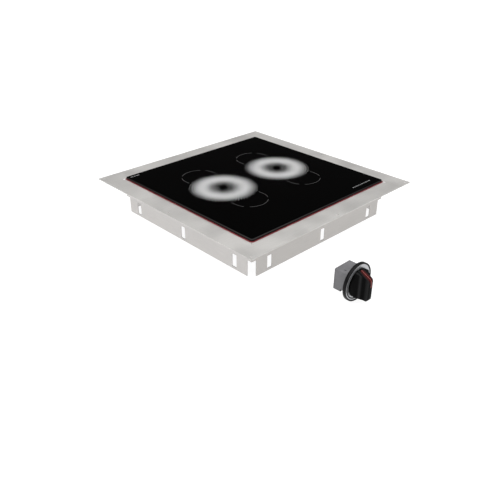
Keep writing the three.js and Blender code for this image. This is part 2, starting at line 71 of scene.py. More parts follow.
def make_camera():
    data = bpy.data.cameras.new("camera")
    data.lens, data.sensor_width = CAMERA_LENS, CAMERA_SENSOR
    data.clip_start, data.clip_end = CAMERA_CLIP
    camera = bpy.data.objects.new("camera", data)
    bpy.context.scene.collection.objects.link(camera)
    aim = Euler((math.radians(90 - CAMERA_ELEVATION), 0, math.radians(-CAMERA_AZIMUTH))).to_matrix()
    roll = Euler((0, 0, math.radians(CAMERA_ROLL))).to_matrix()
    camera.rotation_euler = (aim @ roll).to_euler()
    camera.location = CAMERA_AT
    bpy.context.scene.camera = camera


make_camera()

# ---------------------------------------------------------------- node materials


class Paint:
    """One material with its Principled shader, and short ways to add texture nodes to it.

    A socket's name is given with underscores for its spaces."""

    def __init__(self, name, **sockets):
        self.material = bpy.data.materials.new(name)
        self.material.use_nodes = True
        self.tree = self.material.node_tree
        self.shader = self.tree.nodes["Principled BSDF"]
        for socket, value in sockets.items():
            self.put(self.shader, socket.replace("_", " "), value)
        self.place = self.add("TexCoord").outputs["Object"]

    def put(self, node, socket, value):
        if isinstance(value, bpy.types.NodeSocket):
            self.tree.links.new(value, node.inputs[socket])
        else:
            node.inputs[socket].default_value = value

    def add(self, kind, inputs=None, **settings):
        node = self.tree.nodes.new("ShaderNode" + kind)
        for setting, value in settings.items():
            setattr(node, setting, value)
        for socket, value in (inputs or {}).items():
            self.put(node, socket, value)
        return node

    def scaled(self, stretch):
        return self.add("Mapping", {"Vector": self.place, "Scale": stretch}).outputs["Vector"]

    def noise(self, scale, detail=3.0, stretch=(1, 1, 1), roughness=0.5):
        at = self.scaled(stretch)
        inputs = {"Vector": at, "Scale": scale, "Detail": detail, "Roughness": roughness}
        return self.add("TexNoise", inputs).outputs["Fac"]

    def cells(self, scale, feature="F1", output="Distance", stretch=(1, 1, 1)):
        inputs = {"Vector": self.scaled(stretch), "Scale": scale}
        return self.add("TexVoronoi", inputs, feature=feature).outputs[output]

    def wave(self, scale, stretch=(1, 1, 1), distortion=0.0, **settings):
        inputs = {"Vector": self.scaled(stretch), "Scale": scale, "Distortion": distortion}
        return self.add("TexWave", inputs, **settings).outputs["Fac"]

    def span(self, fac, low, high, start=0.3, end=0.7):
        """A number from low to high as fac goes from start to end."""
        inputs = {"Value": fac, "From Min": start, "From Max": end, "To Min": low, "To Max": high}
        return self.add("MapRange", inputs).outputs["Result"]

    def shades(self, fac, dark, light, start=0.3, end=0.7):
        """A colour from dark to light as fac goes from start to end."""
        ramp = self.add("ValToRGB", {"Fac": fac})
        first, last = ramp.color_ramp.elements
        first.position, first.color = start, (*dark, 1)
        last.position, last.color = end, (*light, 1)
        return ramp.outputs["Color"]

    def mixed(self, fac, a, b, blend="MIX"):
        mix = self.add("Mix", data_type="RGBA", blend_type=blend)
        self.put(mix, 0, fac)
        self.put(mix, 6, a)
        self.put(mix, 7, b)
        return mix.outputs[2]

    def colour(self, value):
        self.put(self.shader, "Base Color", value)
        return self

    def rough(self, value):
        self.put(self.shader, "Roughness", value)
        return self

    def bump(self, height, depth, strength=1.0):
        """Relief of that depth, in metres."""
        inputs = {"Height": height, "Distance": depth, "Strength": strength}
        normal = self.add("Bump", inputs).outputs["Normal"]
        self.put(self.shader, "Normal", normal)
        return self


def tone(colour, factor):
    return tuple(min(1.0, c * factor) for c in colour)


def fill_ramp(node, stops, tint=(1, 1, 1)):
    """Greys at the given (position, value) stops of a new colour ramp, times a tint."""
    elements = node.color_ramp.elements
    for _ in stops[2:]:
        elements.new(0.5)
    for element, (position, value) in zip(elements, stops):
        element.position, element.color = position, (*(value * t for t in tint), 1)


def steel(name, grain, colour=(0.66, 0.645, 0.625), metallic=0.55, rough=(0.36, 0.5)):
    """Fine brushed sheet: streaks along the direction where grain is small, and cloudy handling marks."""
    paint = Paint(name, Metallic=metallic)
    streaks = paint.noise(1.0, 4.0, grain, 0.6)
    clouds = paint.noise(14.0, 3.0)
    base = paint.shades(streaks, tone(colour, 0.9), tone(colour, 1.06), 0.25, 0.75)
    veil = paint.shades(clouds, (0.93, 0.93, 0.93), (1.0, 1.0, 1.0), 0.35, 0.6)
    paint.colour(paint.mixed(1.0, base, veil, "MULTIPLY"))
    paint.rough(paint.span(clouds, *rough))
    return paint.bump(streaks, 0.00002, 0.5).material


def moulded(name, colour, rough, grain=1400.0, depth=0.00002, vary=0.12, **sockets):
    """Moulded plastic: a fine spark-eroded grain with slow changes of tone and gloss."""
    paint = Paint(name, **sockets)
    slow, fine = paint.noise(60.0), paint.noise(grain, 2.0)
    paint.colour(paint.shades(slow, tone(colour, 1 - vary), tone(colour, 1 + vary)))
    paint.rough(paint.span(slow, *rough))
    return paint.bump(fine, depth, 0.6).material


def galvanised(name, colour=(0.5, 0.51, 0.52)):
    """Hot-dip zinc: large crystals of differing grey with a dull bloom."""
    paint = Paint(name, Metallic=0.75)
    crystals = paint.cells(110.0, output="Color")
    grey = paint.add("SeparateColor", {"Color": crystals}).outputs["Red"]
    bloom = paint.noise(25.0)
    base = paint.shades(grey, tone(colour, 0.72), tone(colour, 1.15), 0.0, 1.0)
    veil = paint.shades(bloom, (0.82, 0.82, 0.82), (1.0, 1.0, 1.0))
    paint.colour(paint.mixed(1.0, base, veil, "MULTIPLY"))
    paint.rough(paint.span(grey, 0.38, 0.6, 0.0, 1.0))
    return paint.bump(bloom, 0.00003, 0.4).material


def black_glass():
    """Glass-ceramic, dyed through: nearly black, with the faint orange-peel of a rolled surface."""
    paint = Paint("black_glass", IOR=1.54, Specular_IOR_Level=0.3)
    peel, haze = paint.noise(160.0, 2.0), paint.noise(9.0, 4.0)
    paint.colour(paint.shades(peel, (0.0005, 0.0005, 0.0005), (0.0009, 0.0008, 0.0008)))
    paint.rough(paint.span(haze, 0.05, 0.1))
    return paint.bump(peel, 0.000004, 0.3).material


def ground_edge():
    """The glass's ground and polished edge, where its red-brown dye shows."""
    paint = Paint("glass_edge", IOR=1.54, Specular_IOR_Level=0.12)
    grit, slow = paint.noise(900.0, 2.0), paint.noise(30.0)
    paint.colour(paint.shades(slow, (0.009, 0.005, 0.005), (0.015, 0.0075, 0.007)))
    paint.rough(paint.span(grit, 0.3, 0.45))
    return paint.bump(grit, 0.00001, 0.5).material


def silicone():
    """Red silicone: satin, with dust marks and slight waviness along the bead."""
    paint = Paint("red_silicone", Subsurface_Weight=0.08, Subsurface_Scale=0.002)
    slow, dust = paint.noise(50.0), paint.noise(700.0, 2.0)
    paint.colour(paint.shades(slow, (0.2, 0.022, 0.03), (0.28, 0.036, 0.045)))
    paint.rough(paint.span(dust, 0.42, 0.62))
    return paint.bump(slow, 0.00008, 0.6).material


def screen_print(name, colour, rough=(0.4, 0.55)):
    """Ceramic ink fired on the glass: matt, with pinholes finer than a dot."""
    paint = Paint(name)
    pores, slow = paint.noise(2500.0, 2.0), paint.noise(40.0)
    paint.colour(paint.shades(pores, tone(colour, 0.93), colour, 0.3, 0.5))
    paint.rough(paint.span(slow, *rough))
    return paint.bump(pores, 0.000004, 0.4).material


def litz():
    """Enamelled copper strands twisted into a rope: fine slanted stripes on each turn."""
    paint = Paint("litz_copper", Metallic=0.85)
    twist = paint.wave(900.0, (1, 1, 2.2), 1.5, bands_direction="DIAGONAL")
    slow = paint.noise(80.0)
    base = paint.shades(twist, (0.3, 0.1, 0.04), (0.78, 0.36, 0.17), 0.1, 0.9)
    paint.colour(paint.mixed(0.25, base, paint.shades(slow, (0.3, 0.12, 0.05), (0.7, 0.34, 0.18))))
    paint.rough(paint.span(slow, 0.28, 0.42))
    return paint.bump(twist, 0.0001, 0.6).material


def mica():
    """Pressed mica: pale flakes with darker seams."""
    paint = Paint("mica", Coat_Weight=0.2)
    flakes = paint.cells(220.0, output="Color")
    grey = paint.add("SeparateColor", {"Color": flakes}).outputs["Green"]
    paint.colour(paint.shades(grey, (0.4, 0.34, 0.25), (0.66, 0.61, 0.5), 0.0, 1.0))
    paint.rough(paint.span(grey, 0.45, 0.75, 0.0, 1.0))
    return paint.bump(paint.cells(220.0), 0.00005, 0.5).material


def ferrite():
    """Sintered ferrite: matt charcoal with pits and lighter chips."""
    paint = Paint("ferrite")
    grains, chips = paint.noise(1200.0, 3.0), paint.cells(500.0)
    base = paint.shades(grains, (0.02, 0.02, 0.022), (0.05, 0.05, 0.054))
    paint.colour(paint.mixed(paint.span(chips, 0.35, 0.0, 0.02, 0.12), base, (0.14, 0.14, 0.14, 1)))
    paint.rough(paint.span(grains, 0.65, 0.9))
    return paint.bump(grains, 0.00005, 0.7).material


def circuit_board():
    """Green solder mask over copper traces, with a speckle of pads."""
    paint = Paint("board", Coat_Weight=0.35, Coat_Roughness=0.15)
    at = paint.scaled((1, 1, 0))
    cells = {"Vector": at, "Scale": 170.0}
    traces = paint.add("TexVoronoi", cells, feature="DISTANCE_TO_EDGE", distance="EUCLIDEAN")
    pads = paint.add("TexVoronoi", {"Vector": at, "Scale": 260.0})
    base = paint.shades(traces.outputs["Distance"], (0.03, 0.19, 0.07), (0.012, 0.1, 0.035), 0.04, 0.07)
    solder = paint.span(pads.outputs["Distance"], 1.0, 0.0, 0.1, 0.13)
    paint.colour(paint.mixed(solder, base, (0.6, 0.6, 0.57, 1)))
    paint.rough(paint.span(solder, 0.45, 0.3, 0.0, 1.0))
    return paint.bump(traces.outputs["Distance"], 0.00003, 0.4).material


# The knob's grey across one flank: share of the grip's radius, and value. Two soft bands of painted highlight,
# reflections painted into the colour at fixed places on each flank.
GRIP_PAINTED_HIGHLIGHT = [(0.0, 0.002), (0.16, 0.003), (0.225, 0.022), (0.27, 0.003),
              (0.34, 0.003), (0.42, 0.026), (0.52, 0.003), (1.0, 0.002)]


def grip_plastic_painted_highlights():
    """The knob's plastic: nearly black, with painted highlights along the middle and front of each flank that
    stand in for reflections in the concave flanks.
    """
    paint = Paint("grip_plastic_painted_highlights", Specular_IOR_Level=0.03)
    local = paint.add("VectorMath", {0: paint.place, 1: tuple(DIAL_CENTRE)}, operation="SUBTRACT")
    across = paint.add("SeparateXYZ", {"Vector": local.outputs[0]}).outputs["X"]
    side = paint.add("Math", {0: across}, operation="ABSOLUTE").outputs[0]
    share = paint.add("Math", {0: side, 1: GRIP_RADIUS * MM}, operation="DIVIDE").outputs[0]
    # Painted highlights: this ramp lightens two bands on each flank by distance from the dial's axis.
    ramp = paint.add("ValToRGB", {"Fac": share})
    fill_ramp(ramp, GRIP_PAINTED_HIGHLIGHT, (1, 1, 1.03))
    slow, fine = paint.noise(60.0), paint.noise(900.0, 2.0)
    veil = paint.shades(slow, (0.85, 0.85, 0.85), (1.0, 1.0, 1.0))
    paint.colour(paint.mixed(1.0, ramp.outputs["Color"], veil, "MULTIPLY"))
    paint.rough(paint.span(slow, 0.34, 0.46))
    return paint.bump(fine, 0.00002, 0.6).material


def brushed_silver():
    """The dial's plate: fine circular turning marks round the dial's axis."""
    paint = Paint("silver_plate", Metallic=0.7)
    local = paint.add("VectorMath", {0: paint.place, 1: tuple(DIAL_CENTRE)}, operation="SUBTRACT")
    flat = paint.add("VectorMath", {0: local.outputs[0], 1: (1, 0, 1)}, operation="MULTIPLY")
    radius = paint.add("VectorMath", {0: flat.outputs[0]}, operation="LENGTH").outputs["Value"]
    rings = paint.add("TexNoise", {"W": radius, "Scale": 2600.0, "Detail": 3.0}, noise_dimensions="1D")
    slow = paint.noise(45.0)
    paint.colour(paint.shades(rings.outputs["Fac"], (0.36, 0.365, 0.38), (0.6, 0.61, 0.63)))
    paint.rough(paint.span(slow, 0.26, 0.38))
    return paint.bump(rings.outputs["Fac"], 0.00001, 0.5).material


# ---------------------------------------------------------------- mesh helpers
SMOOTH_BELOW = math.radians(32)


def piece(name, points, faces, materials, body="root", stands_for=(), smooth=True):
    """A mesh in the row frame that rides on a CAD body. Points are in metres."""
    mesh = bpy.data.meshes.new(name)
    mesh.from_pydata([tuple(p) for p in points], [], faces)
    return finished(name, mesh, materials, body, stands_for, smooth)


def finished(name, mesh, materials, body, stands_for=(), smooth=True):
    turned = bmesh.new()
    turned.from_mesh(mesh)
    bmesh.ops.recalc_face_normals(turned, faces=turned.faces)
    turned.to_mesh(mesh)
    turned.free()
    for material in materials if isinstance(materials, list) else [materials]:
        mesh.materials.append(material)
    if smooth:
        mesh.polygons.foreach_set("use_smooth", [True] * len(mesh.polygons))
        mesh.set_sharp_from_angle(angle=SMOOTH_BELOW)
    made = bpy.data.objects.new(name, mesh)
    bpy.context.scene.collection.objects.link(made)
    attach(made, body)
    if stands_for:
        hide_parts(*stands_for)
    return made


def rings_mesh(rings, closed=False, cap=True):
    """Quads between rings with the same number of points. Open stacks are capped, closed ones join up."""
    count = len(rings[0])
    points = [p for ring in rings for p in ring]
    faces = []
    for i in range(len(rings) if closed else len(rings) - 1):
        a, b = i * count, (i + 1) % len(rings) * count
        faces += [(a + j, a + (j + 1) % count, b + (j + 1) % count, b + j) for j in range(count)]
    if cap and not closed:
        last = (len(rings) - 1) * count
        faces += [tuple(range(count))[::-1], tuple(range(last, last + count))]
    return points, faces


def rounded_rectangle(half, radius, z):
    """A square outline about the origin, with rounded corners."""
    points = []
    for corner, (sx, sy) in enumerate([(1, 1), (-1, 1), (-1, -1), (1, -1)]):
        for i in range(CORNER_STEPS + 1):
            angle = math.pi / 2 * (corner + i / CORNER_STEPS)
            x = sx * (half - radius) + radius * math.cos(angle)
            y = sy * (half - radius) + radius * math.sin(angle)
            points.append((x, y, z))
    return points


def turned(profile, centre, segments=96):
    """A closed (radius, y) outline turned about the Y axis through centre."""
    rings = []
    for i in range(segments):
        c, s = math.cos(2 * math.pi * i / segments), math.sin(2 * math.pi * i / segments)
        rings.append([(centre[0] + r * c, centre[1] + y, centre[2] + r * s) for r, y in profile])
    return rings_mesh(rings, closed=True)


def arc(start, end, steps):
    """Points on the unit circle, with angles in degrees."""
    angles = [math.radians(start + (end - start) * i / steps) for i in range(steps + 1)]
    return [(math.cos(a), math.sin(a)) for a in angles]


# ---------------------------------------------------------------- where things are
GLASS_LOW, GLASS_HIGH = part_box("glass_plate")
SEAL_LOW, SEAL_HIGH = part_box("glass_seal")
JOINTS = {joint["name"]: joint for joint in frame["joints"]}
DIAL_CENTRE = Vector(JOINTS["knob_turn"]["pos_m"])

# ---------------------------------------------------------------- glass, seal and print
INK = 0.05 * MM
GLASS_CORNER, GLASS_CHAMFER, GLASS_ARRIS = 5 * MM, 1.2 * MM, 0.3 * MM
SEAL_WIDTH, SEAL_CORNER = 11 * MM, GLASS_CORNER + 2 * MM
CORNER_STEPS = 12


def make_glass():
    """The slab with a ground chamfer round its top, which stops one layer of ink below the CAD's top."""
    half, top, low = GLASS_HIGH.x, GLASS_HIGH.z - INK, GLASS_LOW.z
    steps = [
        (low, 3 * GLASS_ARRIS),
        (low + 0.3 * GLASS_ARRIS, 0.3 * GLASS_ARRIS),
        (low + GLASS_ARRIS, 0),
        (top - GLASS_CHAMFER, 0),
        (top - 0.6 * GLASS_CHAMFER, 0.12 * GLASS_CHAMFER),
        (top - 0.15 * GLASS_CHAMFER, 0.75 * GLASS_CHAMFER),
        (top, 1.2 * GLASS_CHAMFER),
        (top, 2.4 * GLASS_CHAMFER),
    ]
    rings = [
        rounded_rectangle(half - inset, GLASS_CORNER - inset, z) for z, inset in steps
    ]
    points, faces = rings_mesh(rings)
    materials = [black_glass(), ground_edge()]
    slab = piece("glass_slab", points, faces, materials, "root", ["glass_plate"])
    edge_top = top - 0.1 * GLASS_CHAMFER
    for face in slab.data.polygons:
        if face.center.z < edge_top and abs(face.normal.z) < 0.9:
            face.material_index = 1


def make_seal():
    """The seal as a bead squeezed out a little beyond the glass's edge."""
    half = SEAL_HIGH.x
    height = SEAL_HIGH.z - SEAL_LOW.z
    outer = [(SEAL_LOW.z + height * (0.5 - 0.5 * math.cos(a)), 0.5 * height * (1 - math.sin(a)))
             for a in (math.pi * i / 8 for i in range(9))]
    inner = [(SEAL_HIGH.z, SEAL_WIDTH), (SEAL_LOW.z, SEAL_WIDTH)]
    rings = [
        rounded_rectangle(half - inset, max(SEAL_CORNER - inset, MM), z) for z, inset in outer + inner
    ]
    points, faces = rings_mesh(rings, closed=True)
    piece("seal_bead", points, faces, silicone(), "root", ["glass_seal"])


ZONE_LEFT, ZONE_RIGHT = (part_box("litz_coil_" + side) for side in ("left", "right"))
RAYS, DOT_SIDES = 64, 10
# A row's turn and its distance to the next, in steps between rays, and a dot's half length as a share of that.
RAY_SLANT, ROW_GAP, DOT_LENGTH = 0.5, 0.8, 0.4
# Radii in millimetres: where the dots begin, where they are fullest, and where they end.
FIRST_ROW, PEAK_ROW, LAST_ROW = 10.0, 45.5, 76.0
PEAK_COVER = 0.56
OVAL_FULL = math.pi / 4


def centre_of(box):
    return (box[0].x + box[1].x) / 2, (box[0].y + box[1].y) / 2


def eased(share):
    """From 0 to 1 as share goes from 0 to 1, level at both ends."""
    return share * share * (3 - 2 * share)


def dot_cover(radius):
    """The share of the glass that the dots cover: it swells slowly to the peak, then fades to nothing."""
    if radius < PEAK_ROW:
        return PEAK_COVER * eased(radius / PEAK_ROW) ** 2
    return PEAK_COVER * (1 - eased((radius - PEAK_ROW) / (LAST_ROW - PEAK_ROW)))


def make_dots(name, centre, ink):
    """Oval dots that grow outwards. Each row is turned by half a step, so the dots lie on double spirals."""
    points, faces = [], []
    step = 2 * math.pi / RAYS
    growth = 1 + ROW_GAP * step
    top, low = GLASS_HIGH.z, GLASS_HIGH.z - INK
    radius, row = FIRST_ROW, 0
    while radius < LAST_ROW:
        half_long = DOT_LENGTH * radius * (growth - 1) * MM
        half_wide = radius * step * MM * dot_cover(radius) / (OVAL_FULL * 4 * DOT_LENGTH)
        for i in range(RAYS):
            angle = (i + RAY_SLANT * row) * step
            out, across = (math.cos(angle), math.sin(angle)), (-math.sin(angle), math.cos(angle))
            rim = []
            for k in range(DOT_SIDES):
                turn = 2 * math.pi * k / DOT_SIDES
                along, aside = radius * MM + half_long * math.cos(turn), half_wide * math.sin(turn)
                rim.append((centre[0] + along * out[0] + aside * across[0],
                            centre[1] + along * out[1] + aside * across[1]))
            first = len(points)
            points += [(*p, low) for p in rim] + [(*p, top) for p in rim]
            lower = list(range(first, first + DOT_SIDES))
            upper = [k + DOT_SIDES for k in lower]
            faces += [tuple(lower[::-1]), tuple(upper)]
            faces += [(lower[k], lower[(k + 1) % DOT_SIDES], upper[(k + 1) % DOT_SIDES], upper[k])
                      for k in range(DOT_SIDES)]
        radius *= growth
        row += 1
    piece(name, points, faces, ink, smooth=False)


def flat_strip(centreline, width):
    """A thin strip of ink along an open line of (x, y) points, as one closed body."""
    line = [Vector(p) for p in centreline]
    left, right = [], []
    for i, p in enumerate(line):
        along = (line[min(i + 1, len(line) - 1)] - line[max(i - 1, 0)]).normalized()
        side = Vector((-along.y, along.x)) * width / 2
        left.append(p + side)
        right.append(p - side)
    outline = left + right[::-1]
    top, low = GLASS_HIGH.z, GLASS_HIGH.z - INK
    points = [(p.x, p.y, low) for p in outline] + [(p.x, p.y, top) for p in outline]
    n = len(outline)
    faces = [(i, (i + 1) % n, (i + 1) % n + n, i + n) for i in range(n)]
    for i in range(len(line) - 1):
        quad = (i, i + 1, n - 2 - i, n - 1 - i)
        faces += [quad[::-1], tuple(k + n for k in quad)]
    return points, faces


def joined(parts):
    points, faces = [], []
    for more, their in parts:
        first = len(points)
        points += more
        faces += [tuple(k + first for k in face) for face in their]
    return points, faces


BRIDGE_HALF_X, BRIDGE_HALF_Y, BRIDGE_LINE = 39 * MM, 117 * MM, 1.1 * MM
BRIDGE_CORNER, RING_EDGE = 37 * MM, 74 * MM
# The outline's gaps lie between these distances from its long axis, and it stops just short of the ring.
SIDE_FROM, OVER_TO, RING_CLEARANCE = 33 * MM, 26 * MM, 1.5 * MM
ARC_STEPS, LINE_STEPS, LONG_LINE = 48, 12, 10 * MM


def make_bridge(name, centre, ink):
    """The rounded outline behind a zone: an arc over each end, a gap, and the sides up to the ring."""
    straight = BRIDGE_HALF_Y - BRIDGE_CORNER
    bow = [(BRIDGE_HALF_X * x, straight + BRIDGE_CORNER * y) for x, y in arc(0, 180, ARC_STEPS)]
    whole = [(BRIDGE_HALF_X, 0.0)] + bow + [(-BRIDGE_HALF_X, 0.0)]
    spread = []
    for a, b in zip(whole, whole[1:]):
        steps = LINE_STEPS if abs(a[1] - b[1]) > LONG_LINE else 1
        spread += [(a[0] + (b[0] - a[0]) * k / steps, a[1] + (b[1] - a[1]) * k / steps) for k in range(steps)]
    spread.append(whole[-1])
    outside = [p for p in spread if math.hypot(*p) > RING_EDGE + RING_CLEARANCE]
    runs = [
        [p for p in outside if p[0] > SIDE_FROM],
        [p for p in outside if abs(p[0]) < OVER_TO],
        [p for p in outside if p[0] < -SIDE_FROM],
    ]
    strips = [
        flat_strip([(centre[0] + x, centre[1] + end * y) for x, y in run], BRIDGE_LINE)
        for end in (1, -1) for run in runs if len(run) > 1
    ]
    points, faces = joined(strips)
    piece(name, points, faces, ink, smooth=False)


# Each row of marks: where it starts, its dashes' lengths in millimetres, the gap between them and their height.
FRONT_MARKS = (
    (GLASS_HIGH.x - 84 * MM, GLASS_LOW.y + 18 * MM), (5, 3, 6, 4, 3, 7, 4, 5, 3, 6), 1.6, 2.6 * MM
)
BACK_MARKS = (GLASS_LOW.x + 7 * MM, GLASS_HIGH.y - 10.5 * MM), (6, 4, 8), 2, 3.4 * MM


def make_marks(ink):
    """Plain generic marks where the glass carries small print: a row of dashes at the front and at the back."""
    strips = []
    for (at, y), lengths, gap, tall in (FRONT_MARKS, BACK_MARKS):
        for length in lengths:
            strips.append(flat_strip([(at, y), (at + length * MM, y)], tall))
            at += (length + gap) * MM
    points, faces = joined(strips)
    piece("print_marks", points, faces, ink, smooth=False)


make_glass()
make_seal()
WHITE_INK = screen_print("white_ink", (0.9, 0.9, 0.9))
GREY_INK = screen_print("grey_ink", (0.05, 0.05, 0.05))
PALE_INK = screen_print("pale_ink", (0.22, 0.22, 0.22))
for side, box in (("left", ZONE_LEFT), ("right", ZONE_RIGHT)):
    make_dots("print_ring_" + side, centre_of(box), WHITE_INK)
    make_bridge("print_bridge_" + side, centre_of(box), GREY_INK)
make_marks(PALE_INK)

# ---------------------------------------------------------------- the dial and its knob
# Distances from the dial's centre along its axis (y, front negative) and across it, in millimetres.
CUP = [(6.2, 2.2), (33.2, 2.2), (33.2, 0.45), (33.7, 0.1), (35.2, 0.0), (35.75, 0.15), (35.9, 0.6), (35.9, 5.5),
       (35.6, 6.0), (31.4, 6.0), (31.4, 5.2), (6.2, 5.2)]
DISC = [(6.5, 0.85), (32.8, 0.85), (33.0, 1.0), (33.0, 2.0), (6.5, 2.0)]
WEDGE_RADIUS, WEDGE_FROM, WEDGE_TO = 30.0, 140, 345
WEDGE_AT, WEDGE_WIDE = [0.0, 0.15, 0.35, 0.6, 1.0], [0.4, 1.5, 2.3, 2.7, 2.7]
DISC_FACE, SCALE_INK = 0.85, 0.05
WEDGE_STEPS = 96
OFF_DOT_RADIUS, OFF_DOT_AT, OFF_DOT_SIDES = 0.9, 29.4, 20

GRIP_RADIUS, GRIP_BACK, GRIP_BASE = 26.5, 0.5, 3.4
GRIP_HALF, GRIP_SCOOP, SCOOP_Y = 6.2, 20.0, -24.0
# The bar's front outline: height above the axis and how far forward it reaches there.
FRONT_AT = [-26.5, -25.6, -24.0, -21.0, -18.0, 9.0, 10.6, 12.2, 13.8, 15.4, 27.0]
FRONT = [-21.0, -23.4, -25.2, -25.9, -26.0, -26.0, -25.85, -25.5, -24.8, -23.6, -0.1]
CORNER_AT, CORNER = [-26, -20, 9, 15, 27], [1.2, 3.2, 3.2, 1.0, 0.6]
STRIP_AT, STRIP_HALF = [0, 9, 14, 23, 26.2], [2.4, 2.4, 4.6, 4.6, 2.4]


def on_dial(points):
    return [(DIAL_CENTRE.x + x * MM, DIAL_CENTRE.y + y * MM, DIAL_CENTRE.z + z * MM) for x, y, z in points]


def dial_ring(profile, segments=128):
    return turned([(r * MM, y * MM) for r, y in profile], DIAL_CENTRE, segments)


def make_dial(black, silver):
    points, faces = dial_ring(CUP)
    piece("bezel_cup", points, faces, black, "root", ["dial_bezel"])
    points, faces = dial_ring(DISC)
    piece("scale_disc", points, faces, silver, "root", ["scale_plate"])
    rings = []
    for i in range(WEDGE_STEPS + 1):
        share = i / WEDGE_STEPS
        angle = math.radians(WEDGE_FROM + (WEDGE_TO - WEDGE_FROM) * share)
        half = float(np.interp(share, WEDGE_AT, WEDGE_WIDE)) / 2
        inner, outer = WEDGE_RADIUS - half, WEDGE_RADIUS + half
        corners = [(inner, 0), (outer, 0), (outer, 1), (inner, 1)]
        rings.append(on_dial([
            (r * math.cos(angle), DISC_FACE - SCALE_INK * front, r * math.sin(angle)) for r, front in corners
        ]))
    wedge = rings_mesh(rings)
    dot = rings_mesh([
        on_dial([(OFF_DOT_RADIUS * math.cos(a), y, OFF_DOT_AT + OFF_DOT_RADIUS * math.sin(a))
                 for a in (2 * math.pi * k / OFF_DOT_SIDES for k in range(OFF_DOT_SIDES))])
        for y in (DISC_FACE, DISC_FACE - SCALE_INK)
    ])
    points, faces = joined([wedge, dot])
    piece("scale_print", points, faces, black, smooth=False)


def grip_section(z, along=14, round_steps=6):
    """The grip's outline at one height: back, left flank, the rounded front, right flank and back again."""
    chord = math.sqrt(max(GRIP_RADIUS**2 - z**2, 0.3))
    front = float(np.interp(z, FRONT_AT, FRONT))
    scoop_end = SCOOP_Y + GRIP_SCOOP

    def half(y):
        if y >= scoop_end:
            return chord
        dip = max(GRIP_SCOOP**2 - (y - SCOOP_Y) ** 2, 0.0)
        return min(chord, GRIP_HALF + GRIP_SCOOP - math.sqrt(dip))

    corner = min(float(np.interp(z, CORNER_AT, CORNER)), 0.9 * half(front), 0.9 * (GRIP_BACK - front))
    side = [(half(y), y) for y in np.linspace(GRIP_BACK - 0.3, front + corner, along)]
    edge = half(front + corner)
    bend = [(edge - corner * (1 - math.cos(a)), front + corner * (1 - math.sin(a)))
            for a in (math.pi / 2 * k / round_steps for k in range(1, round_steps + 1))]
    right = side + bend
    return [(-x, y, z) for x, y in right] + [(x, y, z) for x, y in right[::-1]]


def make_grip(black):
    tail, middle, face = np.linspace(-26.35, -18, 14), np.linspace(-16.5, 9, 16)[:-1], np.linspace(9, 26.35, 28)
    levels = np.concatenate([tail, middle, face])
    bar = rings_mesh([on_dial(grip_section(float(z))) for z in levels])
    r, back, base = GRIP_RADIUS, GRIP_BACK, GRIP_BASE
    skirt = dial_ring([(3.4, back), (r - 0.6, back), (r - 0.2, back - 0.2), (r, back - 0.6), (r, 0.8 - base),
                       (r - 0.25, 0.25 - base), (r - 0.8, -base), (3.4, -base)])
    points, faces = joined([bar, skirt])
    piece("knob_grip", points, faces, black, "knob", ["knob"])


def make_pointer(maroon, red):
    """A strip let into the ridge, over the nose and down the face, with a thin raised rib along its middle
    whose bright red is a painted highlight of the ridge.

    The strip fills the ridge's width and narrows where the face is rounded."""
    line = [(z, float(np.interp(z, FRONT_AT, FRONT))) for z in
            [26.2, 24, 21, 18, 15.6, 14.6, 13.8, 13, 12.2, 11.4, 10.6, 9.8, 9, 6, 3, 0.8]]
    strips = []
    for widths, proud, sunk in ((STRIP_HALF, 0.1, 0.6), ([0.5, 0.5], 0.3, 0.3)):
        rings = []
        for i, (z, y) in enumerate(line):
            half_width = float(np.interp(z, STRIP_AT[:len(widths)], widths))
            before, after = line[max(i - 1, 0)], line[min(i + 1, len(line) - 1)]
            along = Vector((after[1] - before[1], after[0] - before[0])).normalized()
            out = Vector((along.y, -along.x))
            outer, inner = Vector((y, z)) + out * proud, Vector((y, z)) - out * sunk
            rings.append(on_dial([
                (-half_width, *inner), (half_width, *inner), (half_width, *outer), (-half_width, *outer)
            ]))
        strips.append(rings_mesh(rings))
    points, faces = joined(strips)
    materials = [maroon, red]
    pointer = piece(
        "knob_pointer", points, faces, materials, "knob", ["pointer_insert"], smooth=False
    )
    first_of_line = len(strips[0][1])
    for face in pointer.data.polygons[first_of_line:]:
        face.material_index = 1


BLACK_PLASTIC = moulded("black_plastic", (0.006, 0.006, 0.0065), (0.3, 0.42), 900.0, Specular_IOR_Level=0.1)
# The pointer's rib colour: brighter red painted as the highlight along the ridge, over the insert's own dark
# red.
RED_RIB_PAINTED_HIGHLIGHT = moulded("red_plastic", (0.32, 0.09, 0.08), (0.4, 0.5), Specular_IOR_Level=0.2)
MAROON = moulded("maroon_plastic", (0.05, 0.004, 0.004), (0.3, 0.42), Specular_IOR_Level=0.1)
make_dial(BLACK_PLASTIC, brushed_silver())
make_grip(grip_plastic_painted_highlights())
make_pointer(MAROON, RED_RIB_PAINTED_HIGHLIGHT)

